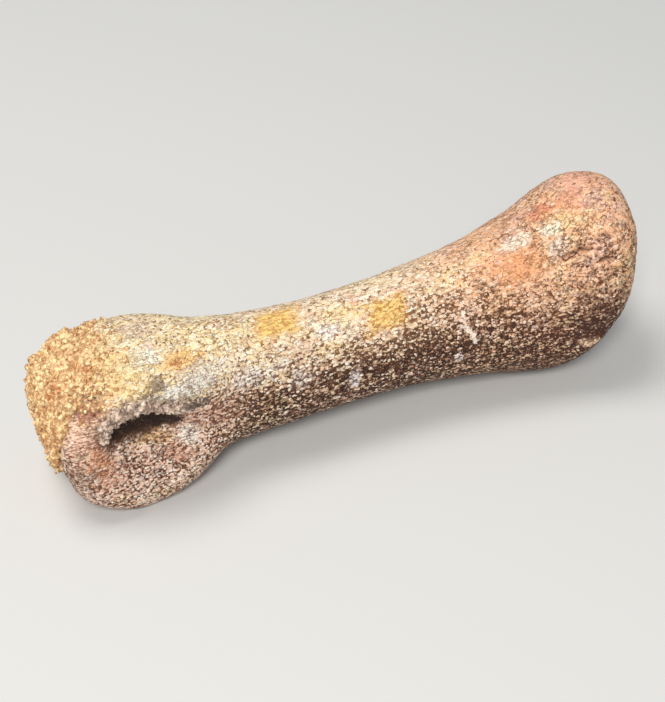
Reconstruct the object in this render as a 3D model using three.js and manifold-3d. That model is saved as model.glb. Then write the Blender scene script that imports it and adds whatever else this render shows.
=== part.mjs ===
// Fossil theropod toe bone, lying on its sole, with sandstone matrix left on its far joint and
// along the brow of its open ligament pit.
// Millimetres, +Z up. +X runs from the far (distal) joint to the near (proximal) joint of the toe,
// -Y is the flank with the open ligament pit, and the bone rests on z = 0.
import * as THREE from 'three';
import { mergeVertices } from 'three/addons/utils/BufferGeometryUtils.js';
import Module from 'manifold-3d';

const wasm = await Module();
wasm.setup();

const { clamp, lerp } = THREE.MathUtils;
const at = (x, y, z) => new THREE.Vector3(x, y, z);

// Driving dimensions of the bone
const boneLength = 78; // before its ends are rounded, which takes off about 3 mm
const distalHeight = 18.4;
const distalSoleWidth = 16.4;
const openCheekLean = 3.2; // how far the flank with the open pit leans in from sole to top
const farCheekLean = 0.8;
const farCheekSetback = 0.16; // how far the far half of the roller falls back, per millimetre across
const rollerGroove = 1.5;
const shaftWidth = 12.4;
const shaftHeight = 14.2;
const topNarrowing = 0.12; // the shaft's top is narrower than its middle by this share
const proximalWidth = 22.6;
const proximalHeight = 24.6;
const proximalTilt = 0.31; // how far the joint face leans back, per millimetre down from the top lip
const cupDepth = 1.7;
const cupRadius = 19;
const restCut = 0.35; // how much of the sole is worn flat where the bone stands

// Driving dimensions of the matrix
const glueGap = 0.3;
const crustEdge = 0.25;
const crustThickness = 1.6;
const crustFeather = 2.5; // how far in from its border the crust reaches its full thickness
const crustGrainSize = 1.15;
const crustGrains = 34;
const browLumpSize = 1.9;
const browLumps = 16;
const browStandoff = 0.35; // the middles of the lumps stand this far off the flank

// Mesh resolution of the wrapped forms: steps round a quarter turn, and millimetres between rings
const boneDetail = { steps: 6, spacing: 1.7 };
const crustDetail = { steps: 4, spacing: 2 };
const coreInset = 9; // the core line stops this far short of the bone's ends
const outerReach = 26;

// Places that follow from them
const condyleRadius = distalHeight / 2;
const distalTip = -boneLength / 2;
const proximalTip = boneLength / 2;
const joint = at(distalTip + condyleRadius, 0, condyleRadius - restCut);
const proximalCentreZ = proximalHeight / 2 - restCut;

// Half width, half height and centre height of the shaft at places along it
const shaftStations = [
  { x: joint.x - 4, y: 0.8, wide: 5.0, high: 6.4, z: joint.z + 0.3 },
  { x: joint.x + 2, y: 0.9, wide: 5.6, high: 7.8, z: joint.z + 0.8 },
  { x: -20, y: 0.7, wide: 6.4, high: 8.3, z: 9.5 },
  { x: -11, y: 0.2, wide: shaftWidth / 2, high: shaftHeight / 2 + 0.2, z: 9.5 },
  { x: 2, y: 0, wide: shaftWidth / 2, high: shaftHeight / 2, z: 9.8 },
  { x: 13, y: 0, wide: 7.4, high: 8.1, z: 10.0 },
  { x: 23, y: 0, wide: 9.3, high: 10.4, z: 10.2 },
  { x: 31, y: 0, wide: proximalWidth / 2 - 0.1, high: proximalHeight / 2 + 0.5, z: proximalCentreZ - 0.4 },
  { x: proximalTip, y: 0, wide: proximalWidth / 2, high: proximalHeight / 2, z: proximalCentreZ },
];

// Soft-edged hollows of the bone, each an ellipsoid
const openPit = { centre: at(joint.x + 0.2, -8.8, joint.z + 0.3), radii: at(6.2, 4.0, 4.6), edge: 2.0 };
const pitOutlet = { centre: at(joint.x + 7.4, -8.4, joint.z + 1.2), radii: at(5.6, 3.0, 3.0), edge: 2.4 };
const farPit = { centre: at(joint.x + 1.0, 9.6, joint.z + 0.8), radii: at(4.4, 3.0, 3.6), edge: 1.2 };
const topHollow = { centre: at(joint.x + 8, -0.8, 2 * joint.z + 3.6), radii: at(6, 4, 3.4), edge: 1.4 };
const soleHollow = { centre: at(joint.x + 10, 0.4, -2.6), radii: at(6.5, 3.6, 5.2), edge: 1.6 };
const heelChip = { centre: at(proximalTip - 6.5, -10.5, 1.2), radii: at(5.5, 3.4, 3.6), edge: 0.5 };
const softHollows = [openPit, pitOutlet, farPit, topHollow, soleHollow, heelChip];

// Sharp-edged cuts: the deep of the open pit under its brow, and a crease beside the near joint
const pitDeep = {
  centre: at(joint.x + 0.2, -5.8, joint.z + 2.3),
  radii: at(4.7, 2.8, 2.6),
  turn: at(0.5, 0.22, 0),
};
const lipCrease = {
  centre: at(proximalTip - 11.6, -6.2, 19.6),
  radii: at(2.4, 0.7, 0.5),
  turn: at(0, -0.3, 0.1),
};

// A flake standing off the sole's edge by the near joint
const heelFlake = {
  centre: at(proximalTip - 11.4, -9.8, 7.6),
  radii: at(1.7, 0.9, 0.8),
  turn: at(0.2, -0.5, 0),
};

// Slow swells and dips of the worn surface: how high, and how fast each repeats along x, y and z
const swells = [
  { height: 0.1, first: at(0.33, 0.5, 0.2), second: at(-0.21, 0.15, 0.45), shift: 0 },
  { height: 0.07, first: at(0.15, 0.8, 0.3), second: at(0.61, -0.2, 0.7), shift: 0.7 },
];

// The near joint face: a plane that leans back to the sole, with a shallow cup in it
const faceNormal = at(1, 0, -proximalTilt).normalize();
const faceTop = at(proximalTip, 0, proximalHeight);
const faceCentre = at(proximalTip - proximalTilt * (proximalHeight - proximalCentreZ), 0, proximalCentreZ);
const cupCentre = faceCentre.clone().addScaledVector(faceNormal, cupRadius - cupDepth);

// The matrix on the far joint covers this ellipsoid's part of it, and is thickest at the crest
const matrixPatch = {
  centre: at(joint.x - 8.2, 2.8, joint.z + 2.9),
  radii: at(8.6, 7.6, 8.1),
  turn: at(0, 0, 0),
};
const matrixCrest = at(joint.x - 7.6, 5.0, joint.z + 6.4);
const matrixCrestRadius = 7.5;

// The brow over the open pit, along which the matrix hangs, as places on the flank
const browLine = new THREE.CatmullRomCurve3([
  onOpenFlank(joint.x - 4.2, joint.z + 2.6),
  onOpenFlank(joint.x - 3.8, joint.z + 4.5),
  onOpenFlank(joint.x - 1.9, joint.z + 5.6),
  onOpenFlank(joint.x + 0.4, joint.z + 5.5),
  onOpenFlank(joint.x + 2.6, joint.z + 4.9),
  onOpenFlank(joint.x + 4.6, joint.z + 4.3),
]);

// Joins two fields with a fillet of about the given radius.
function blendMin(a, b, radius) {
  const h = Math.max(radius - Math.abs(a - b), 0) / radius;
  return Math.min(a, b) - h * h * radius / 4;
}

function blendMax(a, b, radius) {
  return -blendMin(-a, -b, radius);
}

// The shaft's half width, half height and centre height at x, on a smooth curve through the stations.
function shaftSection(x) {
  const last = shaftStations.length - 1;
  const inside = clamp(x, shaftStations[0].x, shaftStations[last].x);
  let i = 0;
  while (i < last - 1 && inside > shaftStations[i + 1].x) i += 1;
  const before = shaftStations[Math.max(i - 1, 0)];
  const start = shaftStations[i];
  const end = shaftStations[i + 1];
  const after = shaftStations[Math.min(i + 2, last)];
  const span = end.x - start.x;
  const t = (inside - start.x) / span;
  const hermite = (key) => {
    const slopeIn = (end[key] - before[key]) / (end.x - before.x) * span;
    const slopeOut = (after[key] - start[key]) / (after.x - start.x) * span;
    const t2 = t * t;
    const t3 = t2 * t;
    return (2 * t3 - 3 * t2 + 1) * start[key] + (t3 - 2 * t2 + t) * slopeIn
      + (3 * t2 - 2 * t3) * end[key] + (t3 - t2) * slopeOut;
  };
  return { y: hermite('y'), wide: hermite('wide'), high: hermite('high'), z: hermite('z') };
}

// About the distance from an ellipsoid, below 0 inside it.
function ellipsoidField(p, { centre, radii }) {
  const k = Math.hypot((p.x - centre.x) / radii.x, (p.y - centre.y) / radii.y, (p.z - centre.z) / radii.z);
  return (k - 1) * Math.min(radii.x, radii.y, radii.z);
}

function shaftField(p) {
  const { y, wide, high, z } = shaftSection(p.x);
  const up = (p.z - z) / high;
  const narrowing = 1 - topNarrowing * clamp(up, -1, 1);
  const k = Math.hypot((p.y - y) / (wide * narrowing), up);
  return (k - 1) * Math.min(wide, high);
}

// The far joint: a roller across the toe, wider at the sole, with a groove round its middle.
function rollerField(p, grooveDepth) {
  const dx = p.x - joint.x - farCheekSetback * Math.max(p.y, 0);
  const dz = p.z - joint.z;
  const lean = p.y < 0 ? openCheekLean : farCheekLean;
  const halfWidth = distalSoleWidth / 2 - lean * clamp(p.z / distalHeight, 0, 1);
  const groove = grooveDepth * Math.exp(-((p.y / (0.42 * halfWidth)) ** 2));
  const tread = Math.hypot(dx, dz) - (condyleRadius - groove);
  const cheek = Math.abs(p.y) - halfWidth;
  return blendMax(tread, cheek, 3.2);
}

function unevenness(p) {
  let sum = 0;
  for (const { height, first, second, shift } of swells) {
    sum += height * Math.sin(p.dot(first) + shift) * Math.sin(p.dot(second));
  }
  return sum;
}

// About the distance from the bone's surface, below 0 inside it.
function boneField(p, grooveDepth = rollerGroove) {
  const face = p.clone().sub(faceTop).dot(faceNormal);
  let field = shaftField(p);
  field = blendMax(field, face, 9);
  field = blendMax(field, cupRadius - p.distanceTo(cupCentre), 1.5);
  field = blendMax(field, joint.x - 3 - p.x, 4); // the shaft ends inside the roller
  field = blendMin(field, rollerField(p, grooveDepth), 5);
  for (const hollow of softHollows) field = blendMax(field, -ellipsoidField(p, hollow), hollow.edge);
  return field + unevenness(p);
}

// The place at x and z that stands the lumps' distance off the flank with the open pit.
function onOpenFlank(x, z) {
  let inside = 0;
  let outside = -proximalWidth;
  for (let step = 0; step < 16; step += 1) {
    const y = (inside + outside) / 2;
    if (boneField(at(x, y, z)) > browStandoff) outside = y;
    else inside = y;
  }
  return at(x, inside, z);
}

// About the distance from the matrix's surface, which fills the roller's groove and thins to its border.
function crustField(p) {
  const cover = clamp(-ellipsoidField(p, matrixPatch) / crustFeather, 0, 1);
  const nearness = Math.max(0, 1 - p.distanceToSquared(matrixCrest) / matrixCrestRadius ** 2);
  const thickness = lerp(crustEdge, crustThickness, cover * nearness);
  return boneField(p, rollerGroove * (1 - cover)) - glueGap - thickness;
}

// A long box whose every point moves along its own ray, out from the bone's core, to where the field is 0.
function wrap(field, { steps, spacing }) {
  const reach = proximalTip - coreInset;
  const rings = Math.round(2 * reach / spacing);
  const halfStraight = rings / steps / 2;
  const box = new THREE.BoxGeometry(2 * (halfStraight + 1), 2, 2, rings + 2 * steps, 2 * steps, 2 * steps);
  const place = box.getAttribute('position');
  const point = at(0, 0, 0);
  const core = at(0, 0, 0);
  const ray = at(0, 0, 0);
  const even = (u) => Math.tan(u * Math.PI / 4); // spreads the rays evenly over a quarter turn
  for (let i = 0; i < place.count; i += 1) {
    point.fromBufferAttribute(place, i);
    const along = clamp(point.x, -halfStraight, halfStraight);
    const x = along / halfStraight * reach;
    core.set(x, 0, lerp(joint.z, proximalCentreZ, (x + reach) / (2 * reach)));
    ray.set(even(point.x - along), even(point.y), even(point.z)).normalize();
    const fieldAt = (distance) => field(point.copy(core).addScaledVector(ray, distance));
    let outside = outerReach;
    let inside = outerReach;
    while (inside > 0 && fieldAt(inside) > 0) {
      outside = inside;
      inside -= 0.3;
    }
    for (let step = 0; step < 16; step += 1) {
      const middle = (inside + outside) / 2;
      if (fieldAt(middle) > 0) outside = middle;
      else inside = middle;
    }
    place.setXYZ(i, ...point.toArray());
  }
  return solidOf(box);
}

// A closed three.js geometry as a solid.
function solidOf(geometry) {
  geometry.deleteAttribute('normal');
  geometry.deleteAttribute('uv');
  const merged = mergeVertices(geometry);
  return new wasm.Manifold(new wasm.Mesh({
    numProp: 3,
    vertProperties: new Float32Array(merged.getAttribute('position').array),
    triVerts: new Uint32Array(merged.index.array),
  }));
}

function geometryOf(solid) {
  const mesh = solid.getMesh();
  const geometry = new THREE.BufferGeometry();
  geometry.setAttribute('position', new THREE.BufferAttribute(mesh.vertProperties, 3));
  geometry.setIndex(new THREE.BufferAttribute(mesh.triVerts, 1));
  return geometry;
}

function placed(geometry, { centre, radii, turn }) {
  geometry.scale(radii.x, radii.y, radii.z);
  geometry.rotateX(turn.x);
  geometry.rotateY(turn.y);
  geometry.rotateZ(turn.z);
  geometry.translate(centre.x, centre.y, centre.z);
  return solidOf(geometry);
}

function ellipsoidSolid(ellipsoid, grownBy = 0) {
  const radii = ellipsoid.radii.clone().addScalar(grownBy);
  return placed(new THREE.SphereGeometry(1, 20, 12), { ...ellipsoid, radii });
}

// A repeatable stream of numbers from 0 to 1.
function numberStream(seed) {
  let state = seed;
  return () => {
    state = (state * 1664525 + 1013904223) % 4294967296;
    return state / 4294967296;
  };
}

// One angular grain or lump of sand.
function grainAt(centre, size, next) {
  const radius = () => size * (0.42 + 0.16 * next());
  const radii = at(radius(), radius(), radius());
  const turn = at(Math.PI * next(), Math.PI * next(), 0);
  return placed(new THREE.IcosahedronGeometry(1, 0), { centre, radii, turn });
}

// Sand left on the far joint: a crust cut to its patch, with grains standing on it.
function jointMatrixSolid() {
  const next = numberStream(7);
  const boneWithGap = boneWithGapSolid(crustDetail);
  const crust = wrap(crustField, crustDetail).intersect(ellipsoidSolid(matrixPatch)).subtract(boneWithGap);
  const surface = crust.getMesh().vertProperties;
  const grains = [];
  while (grains.length < crustGrains) {
    const place = at(0, 0, 0).fromArray(surface, 3 * Math.floor(next() * surface.length / 3));
    const onTop = Math.abs(crustField(place)) < 0.05;
    const wellInside = ellipsoidField(place, matrixPatch) < -0.5;
    if (onTop && wellInside) grains.push(grainAt(place, crustGrainSize * (0.8 + 0.5 * next()), next));
  }
  return wasm.Manifold.union([crust, ...grains]).subtract(boneWithGap).subtract(floorBlock);
}

// Sand along the brow of the open pit: lumps strung on an arch that overhangs the hollow.
function pitMatrixSolid() {
  const next = numberStream(19);
  const places = browLine.getSpacedPoints(browLumps);
  const lumps = places.map((place) => grainAt(place, browLumpSize * (0.9 + 0.5 * next()), next));
  return wasm.Manifold.union(lumps).subtract(boneWithGapSolid(boneDetail));
}

const floorBlock = solidOf(new THREE.BoxGeometry(200, 200, 40).translate(0, 0, -20));

function boneSolid() {
  const flake = placed(new THREE.IcosahedronGeometry(1, 0), heelFlake);
  const whole = wrap(boneField, boneDetail);
  const cut = whole.subtract(ellipsoidSolid(pitDeep)).subtract(ellipsoidSolid(lipCrease));
  return cut.add(flake).subtract(floorBlock);
}

// The bone grown by the gap that matrix keeps from it.
function boneWithGapSolid(detail) {
  return wrap((p) => boneField(p) - glueGap, detail).subtract(ellipsoidSolid(pitDeep, -glueGap));
}

const boneMaterial = new THREE.MeshStandardMaterial({ color: 0xb98d6c, roughness: 0.85, metalness: 0 });
const matrixMaterial = new THREE.MeshStandardMaterial({ color: 0xd9b06f, roughness: 0.9, metalness: 0 });

function named(name, solid, material) {
  const mesh = new THREE.Mesh(geometryOf(solid), material);
  mesh.name = name;
  return mesh;
}

const fossil = new THREE.Group();
fossil.add(
  named('toe_bone', boneSolid(), boneMaterial),
  named('joint_matrix', jointMatrixSolid(), matrixMaterial),
  named('pit_matrix', pitMatrixSolid(), matrixMaterial),
);

// The origin is under the middle of the fossil, on the surface that it lies on
const bounds = new THREE.Box3().setFromObject(fossil);
const middle = bounds.getCenter(at(0, 0, 0));
fossil.position.set(-middle.x, -middle.y, -bounds.min.z);

export default fossil;
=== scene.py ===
import math
import random

import bmesh
import bpy
from mathutils import Matrix, Vector


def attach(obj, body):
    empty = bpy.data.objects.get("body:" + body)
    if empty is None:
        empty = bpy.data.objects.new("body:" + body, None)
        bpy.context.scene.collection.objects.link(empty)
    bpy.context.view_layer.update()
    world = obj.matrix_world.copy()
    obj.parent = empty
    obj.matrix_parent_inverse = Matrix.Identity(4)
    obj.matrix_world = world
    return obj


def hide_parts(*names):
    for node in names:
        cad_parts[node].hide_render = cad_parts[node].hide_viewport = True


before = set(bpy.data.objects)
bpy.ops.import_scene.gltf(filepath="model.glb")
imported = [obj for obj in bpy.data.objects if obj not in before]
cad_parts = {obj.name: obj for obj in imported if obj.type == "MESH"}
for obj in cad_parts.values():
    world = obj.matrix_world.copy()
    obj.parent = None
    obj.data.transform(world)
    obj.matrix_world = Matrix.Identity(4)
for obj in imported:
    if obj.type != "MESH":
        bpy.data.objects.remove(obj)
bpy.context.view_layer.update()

mm = 0.001
print("frame loaded:", sorted(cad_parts))


# view: the place that the photograph was taken from, round a target in the bone

view = {
    "target": Vector((0, 0, 9)),
    "azimuth": -26.8,  # degrees, 0 looks along +Y
    "elevation": 40,
    "roll": 1.64,
    "distance": 190,  # mm from the target
    "across": -1.17,  # how far the camera stands to the right of the target, and above it
    "above": -0.28,
    "lens": 80.8,
}


def makeCamera():
    azimuth, elevation, roll = (math.radians(view[key]) for key in ("azimuth", "elevation", "roll"))
    back = Vector((
        math.sin(azimuth) * math.cos(elevation),
        -math.cos(azimuth) * math.cos(elevation),
        math.sin(elevation),
    ))
    level = Vector((math.cos(azimuth), math.sin(azimuth), 0))
    upright = back.cross(level)
    right = level * math.cos(roll) + upright * math.sin(roll)
    up = upright * math.cos(roll) - level * math.sin(roll)
    eye = view["target"] + back * view["distance"] + right * view["across"] + up * view["above"]
    camera = bpy.data.objects.new("camera", bpy.data.cameras.new("camera"))
    bpy.context.scene.collection.objects.link(camera)
    turn = Matrix((right, up, back)).transposed().to_4x4()
    camera.matrix_world = Matrix.Translation(eye * mm) @ turn
    camera.data.lens = view["lens"]
    camera.data.clip_start = 0.01
    bpy.context.scene.camera = camera


# studio: a pale floor, a soft key light from above and behind, and a weak fill

studio = {
    "floor": (0.62, 0.62, 0.61),
    "floorSize": 3.0,
    "sky": (0.86, 0.93, 1.0),
    "skyStrength": 0.26,
    "lights": {
        "keyLight": {"at": (-0.16, 0.13, 0.55), "size": 0.26, "watts": 1.85, "colour": (1.0, 0.97, 0.92)},
        "frontLight": {"at": (-0.22, -0.35, 0.44), "size": 0.18, "watts": 2.8, "colour": (1.0, 0.97, 0.93)},
    },
}


def makeStudio():
    world = bpy.data.worlds.new("sky")
    world.use_nodes = True
    sky = world.node_tree.nodes["Background"]
    sky.inputs["Color"].default_value = (*studio["sky"], 1)
    sky.inputs["Strength"].default_value = studio["skyStrength"]
    bpy.context.scene.world = world
    bpy.context.scene.view_settings.view_transform = "Standard"

    sheet = bmesh.new()
    bmesh.ops.create_grid(sheet, x_segments=1, y_segments=1, size=studio["floorSize"] / 2)
    floor = meshObject("floor", sheet)
    floor.data.materials.append(plainMaterial("floorPaint", studio["floor"], 0.8))

    for name, light in studio["lights"].items():
        lamp = bpy.data.lights.new(name, "AREA")
        lamp.size = light["size"]
        lamp.energy = light["watts"]
        lamp.color = light["colour"]
        holder = bpy.data.objects.new(name, lamp)
        bpy.context.scene.collection.objects.link(holder)
        holder.location = light["at"]
        holder.rotation_euler = (-Vector(light["at"])).to_track_quat("-Z", "Y").to_euler()


def meshObject(name, shape):
    mesh = bpy.data.meshes.new(name)
    shape.to_mesh(mesh)
    shape.free()
    thing = bpy.data.objects.new(name, mesh)
    bpy.context.scene.collection.objects.link(thing)
    return thing


def plainMaterial(name, colour, roughness):
    material = bpy.data.materials.new(name)
    material.use_nodes = True
    shader = material.node_tree.nodes["Principled BSDF"]
    shader.inputs["Base Color"].default_value = (*colour, 1)
    shader.inputs["Roughness"].default_value = roughness
    return material


# node helpers: they work in a shader tree and in a geometry tree alike, with places in millimetres

def feed(tree, socket, value):
    if isinstance(value, bpy.types.NodeSocket):
        tree.links.new(value, socket)
    else:
        socket.default_value = value


def calc(tree, operation, first, second=0.0, clamped=False):
    node = tree.nodes.new("ShaderNodeMath")
    node.operation = operation
    node.use_clamp = clamped
    feed(tree, node.inputs[0], first)
    feed(tree, node.inputs[1], second)
    return node.outputs[0]


def vectorCalc(tree, operation, first, second=(0, 0, 0)):
    node = tree.nodes.new("ShaderNodeVectorMath")
    node.operation = operation
    feed(tree, node.inputs[0], first)
    if operation == "SCALE":
        feed(tree, node.inputs["Scale"], second)
    else:
        feed(tree, node.inputs[1], second)
    return node.outputs["Value" if operation in ("LENGTH", "DOT_PRODUCT") else "Vector"]


def ramp(tree, value, low, high, fromLow=0.0, toHigh=1.0):
    # smooth step: fromLow below low, toHigh above high
    node = tree.nodes.new("ShaderNodeMapRange")
    node.interpolation_type = "SMOOTHSTEP"
    feed(tree, node.inputs["Value"], value)
    feed(tree, node.inputs["From Min"], low)
    feed(tree, node.inputs["From Max"], high)
    feed(tree, node.inputs["To Min"], fromLow)
    feed(tree, node.inputs["To Max"], toHigh)
    return node.outputs["Result"]


def span(tree, value, name, fromLow=0.0, toHigh=1.0):
    return ramp(tree, value, *spans[name], fromLow, toHigh)


def addTimes(tree, total, value, factor):
    return calc(tree, "ADD", total, calc(tree, "MULTIPLY", value, factor))


def noise(tree, place, size, detail=2.0, roughness=0.5, stretch=(1, 1, 1), shift=0.0):
    scaled = vectorCalc(tree, "DIVIDE", place, tuple(size * s for s in stretch))
    moved = vectorCalc(tree, "ADD", scaled, (shift, shift * 0.7, shift * 1.3))
    node = tree.nodes.new("ShaderNodeTexNoise")
    feed(tree, node.inputs["Vector"], moved)
    node.inputs["Scale"].default_value = 1.0
    node.inputs["Detail"].default_value = detail
    node.inputs["Roughness"].default_value = roughness
    return node.outputs[0]


def swing(tree, place, *recipe, **more):
    # noise about zero
    return calc(tree, "SUBTRACT", noise(tree, place, *recipe, **more), 0.5)


def axisOf(tree, place, axis):
    node = tree.nodes.new("ShaderNodeSeparateXYZ")
    feed(tree, node.inputs[0], place)
    return node.outputs[axis]


def mixColours(tree, amount, first, second):
    node = tree.nodes.new("ShaderNodeMix")
    node.data_type = "RGBA"
    feed(tree, node.inputs[0], amount)
    feed(tree, node.inputs[6], first)
    feed(tree, node.inputs[7], second)
    return node.outputs[2]


def tinted(tree, colour, mask, share, tint):
    return mixColours(tree, calc(tree, "MULTIPLY", mask, share), colour, tint)


def painted(tree, colour, mask, name):
    return tinted(tree, colour, mask, hiding[name], boneColours[name])


def largest(tree, values):
    total = values[0]
    for value in values[1:]:
        total = calc(tree, "MAXIMUM", total, value)
    return total


def tone(red, green, blue):
    shares = [level / 255 for level in (red, green, blue)]
    linear = [c / 12.92 if c <= 10 / 255 else ((c + 0.055) / 1.055) ** 2.4 for c in shares]
    return (*linear, 1)


def insideOf(tree, place, centre, radii, edge=0.35, ragged=None):
    # 1 inside an ellipsoid, falling to 0 over its edge, which a noise may make ragged
    scaled = vectorCalc(tree, "DIVIDE", vectorCalc(tree, "SUBTRACT", place, centre), radii)
    distance = vectorCalc(tree, "LENGTH", scaled)
    if ragged is not None:
        distance = calc(tree, "ADD", distance, ragged)
    return ramp(tree, distance, 1 - edge, 1 + edge, 1.0, 0.0)


def insideOfSlab(tree, place, centre, halfLength, halfWidth, skew, edge, ragged):
    # 1 inside a four-sided patch of the surface, seen from above
    offset = vectorCalc(tree, "SUBTRACT", place, centre)
    across = axisOf(tree, offset, "Y")
    along = calc(tree, "SUBTRACT", axisOf(tree, offset, "X"), calc(tree, "MULTIPLY", across, skew))
    first = calc(tree, "DIVIDE", calc(tree, "ABSOLUTE", along), halfLength)
    second = calc(tree, "DIVIDE", calc(tree, "ABSOLUTE", across), halfWidth)
    distance = calc(tree, "ADD", calc(tree, "MAXIMUM", first, second), ragged)
    top = span(tree, axisOf(tree, place, "Z"), "patchTop")
    return calc(tree, "MULTIPLY", ramp(tree, distance, 1 - edge, 1 + edge, 1.0, 0.0), top)


def distanceToLine(tree, place, points):
    # the distance to the nearest of the straight stretches between the points
    nearest = None
    for start, end in zip(points, points[1:]):
        start, end = Vector(start), Vector(end)
        run = end - start
        offset = vectorCalc(tree, "SUBTRACT", place, start)
        share = vectorCalc(tree, "DOT_PRODUCT", offset, run)
        share = calc(tree, "DIVIDE", share, run.length_squared, clamped=True)
        reached = vectorCalc(tree, "SCALE", run, share)
        distance = vectorCalc(tree, "LENGTH", vectorCalc(tree, "SUBTRACT", offset, reached))
        nearest = distance if nearest is None else calc(tree, "MINIMUM", nearest, distance)
    return nearest


# fine meshes: a merged copy of a CAD node, remeshed so that its surface can carry the worn relief

def geometryTree(name):
    tree = bpy.data.node_groups.new(name, "GeometryNodeTree")
    tree.interface.new_socket("Geometry", in_out="INPUT", socket_type="NodeSocketGeometry")
    tree.interface.new_socket("Geometry", in_out="OUTPUT", socket_type="NodeSocketGeometry")
    return tree, tree.nodes.new("NodeGroupInput").outputs[0], tree.nodes.new("NodeGroupOutput").inputs[0]


def placeInMillimetres(tree):
    position = tree.nodes.new("GeometryNodeInputPosition")
    return vectorCalc(tree, "SCALE", position.outputs[0], 1 / mm)


def blurred(tree, geometry, iterations):
    position = tree.nodes.new("GeometryNodeInputPosition")
    blur = tree.nodes.new("GeometryNodeBlurAttribute")
    blur.data_type = "FLOAT_VECTOR"
    blur.inputs["Iterations"].default_value = iterations
    valueSocket = next(s for s in blur.inputs if s.name == "Value" and s.enabled)
    tree.links.new(position.outputs[0], valueSocket)
    moved = tree.nodes.new("GeometryNodeSetPosition")
    tree.links.new(geometry, moved.inputs["Geometry"])
    tree.links.new(next(s for s in blur.outputs if s.enabled), moved.inputs["Position"])
    return moved.outputs[0]


def raised(tree, geometry, height):
    # moves the surface out along its own normal, by a height in millimetres
    normal = tree.nodes.new("GeometryNodeInputNormal")
    moved = tree.nodes.new("GeometryNodeSetPosition")
    tree.links.new(geometry, moved.inputs["Geometry"])
    offset = vectorCalc(tree, "SCALE", normal.outputs[0], calc(tree, "MULTIPLY", height, mm))
    tree.links.new(offset, moved.inputs["Offset"])
    return moved.outputs[0]


def applyModifiers(thing):
    evaluated = thing.evaluated_get(bpy.context.evaluated_depsgraph_get())
    mesh = bpy.data.meshes.new_from_object(evaluated)
    mesh.name = thing.name
    thing.modifiers.clear()
    thing.data = mesh


def voxelRemesh(thing, voxel):
    remesh = thing.modifiers.new("remesh", "REMESH")
    remesh.mode = "VOXEL"
    remesh.voxel_size = voxel * mm
    applyModifiers(thing)


def fineCopy(node, name, voxel):
    copy = bmesh.new()
    copy.from_mesh(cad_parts[node].data)
    bmesh.ops.remove_doubles(copy, verts=copy.verts, dist=1e-6)
    thing = meshObject(name, copy)
    voxelRemesh(thing, voxel)
    return thing


def useTree(thing, tree):
    thing.modifiers.new(tree.name, "NODES").node_group = tree
    applyModifiers(thing)


def finished(piece, material):
    piece.data.polygons.foreach_set("use_smooth", [True] * len(piece.data.polygons))
    piece.data.update()
    piece.data.materials.clear()
    piece.data.materials.append(material)


def paintTree(name):
    # a new material, its tree, its shader, and the place on the piece in millimetres
    material = bpy.data.materials.new(name)
    material.use_nodes = True
    tree = material.node_tree
    coordinates = tree.nodes.new("ShaderNodeTexCoord")
    place = vectorCalc(tree, "SCALE", coordinates.outputs["Object"], 1 / mm)
    return material, tree, tree.nodes["Principled BSDF"], place


def addBump(tree, shader, height, depth):
    bump = tree.nodes.new("ShaderNodeBump")
    bump.inputs["Distance"].default_value = depth * mm
    bump.inputs["Strength"].default_value = 1.0
    tree.links.new(height, bump.inputs["Height"])
    tree.links.new(bump.outputs["Normal"], shader.inputs["Normal"])


# toe bone: worn forms

boneForm = {
    "softVoxel": 0.32,
    "softening": 44,  # rounds of smoothing that take the facets out
    "voxel": 0.245,
    "fullness": 0.2,  # gives back what the smoothing takes
    "swellHeight": 0.14,
    "lumpHeight": 0.17,
    "roughHeight": 0.1,
    "poreSize": 0.75,
    "poreDepth": 0.34,
    "creaseRadius": 0.6,
    "creaseDepth": 0.6,
    "spongeHeight": 0.42,
    "gritSize": 0.62,
    "gritHeight": 0.28,
    "sandRise": 0.55,
}
# low ledges along surface lines: how far they are full, how far they reach, and how high they stand
ledges = {"rimEdge": (0.2, 0.9, 0.4), "spur": (0.1, 0.6, 0.5), "creaseLip": (0.1, 0.7, 0.25)}
# the hollow under the brow: a middle, radii and a turn about Y for each of the rounded cuts
hollows = [
    {"centre": (-28.6, -4.8, 11.5), "radii": (3.2, 3.0, 2.3), "turn": 14},
    {"centre": (-25.3, -5.1, 10.4), "radii": (2.5, 2.2, 1.35), "turn": 18},
    {"centre": (-31.2, -5.4, 10.8), "radii": (1.8, 2.3, 1.8), "turn": -25},
    {"centre": (-24.2, -5.5, 10.1), "radii": (1.5, 1.7, 0.75), "turn": 12},
    {"centre": (-27.6, -6.7, 9.2), "radii": (4.4, 2.0, 2.0), "turn": 8},
]
# the brow over the open pit, from the rim of the far joint towards the shaft
brow = [
    (-32.0, -6.2, 13.2), (-31.0, -6.2, 14.3), (-29.4, -5.9, 15.2), (-27.2, -5.9, 15.0),
    (-25.2, -6.1, 14.0), (-22.6, -6.0, 13.0), (-20.2, -5.8, 12.8),
]
browKnobs = {
    "seed": 6,
    "spacing": 0.4,
    "least": 0.35,  # the smallest radius of a knob, and the largest
    "most": 0.9,
    "spread": 0.8,
    "sunk": 0.45,
    "jitter": 0.3,
}
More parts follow.
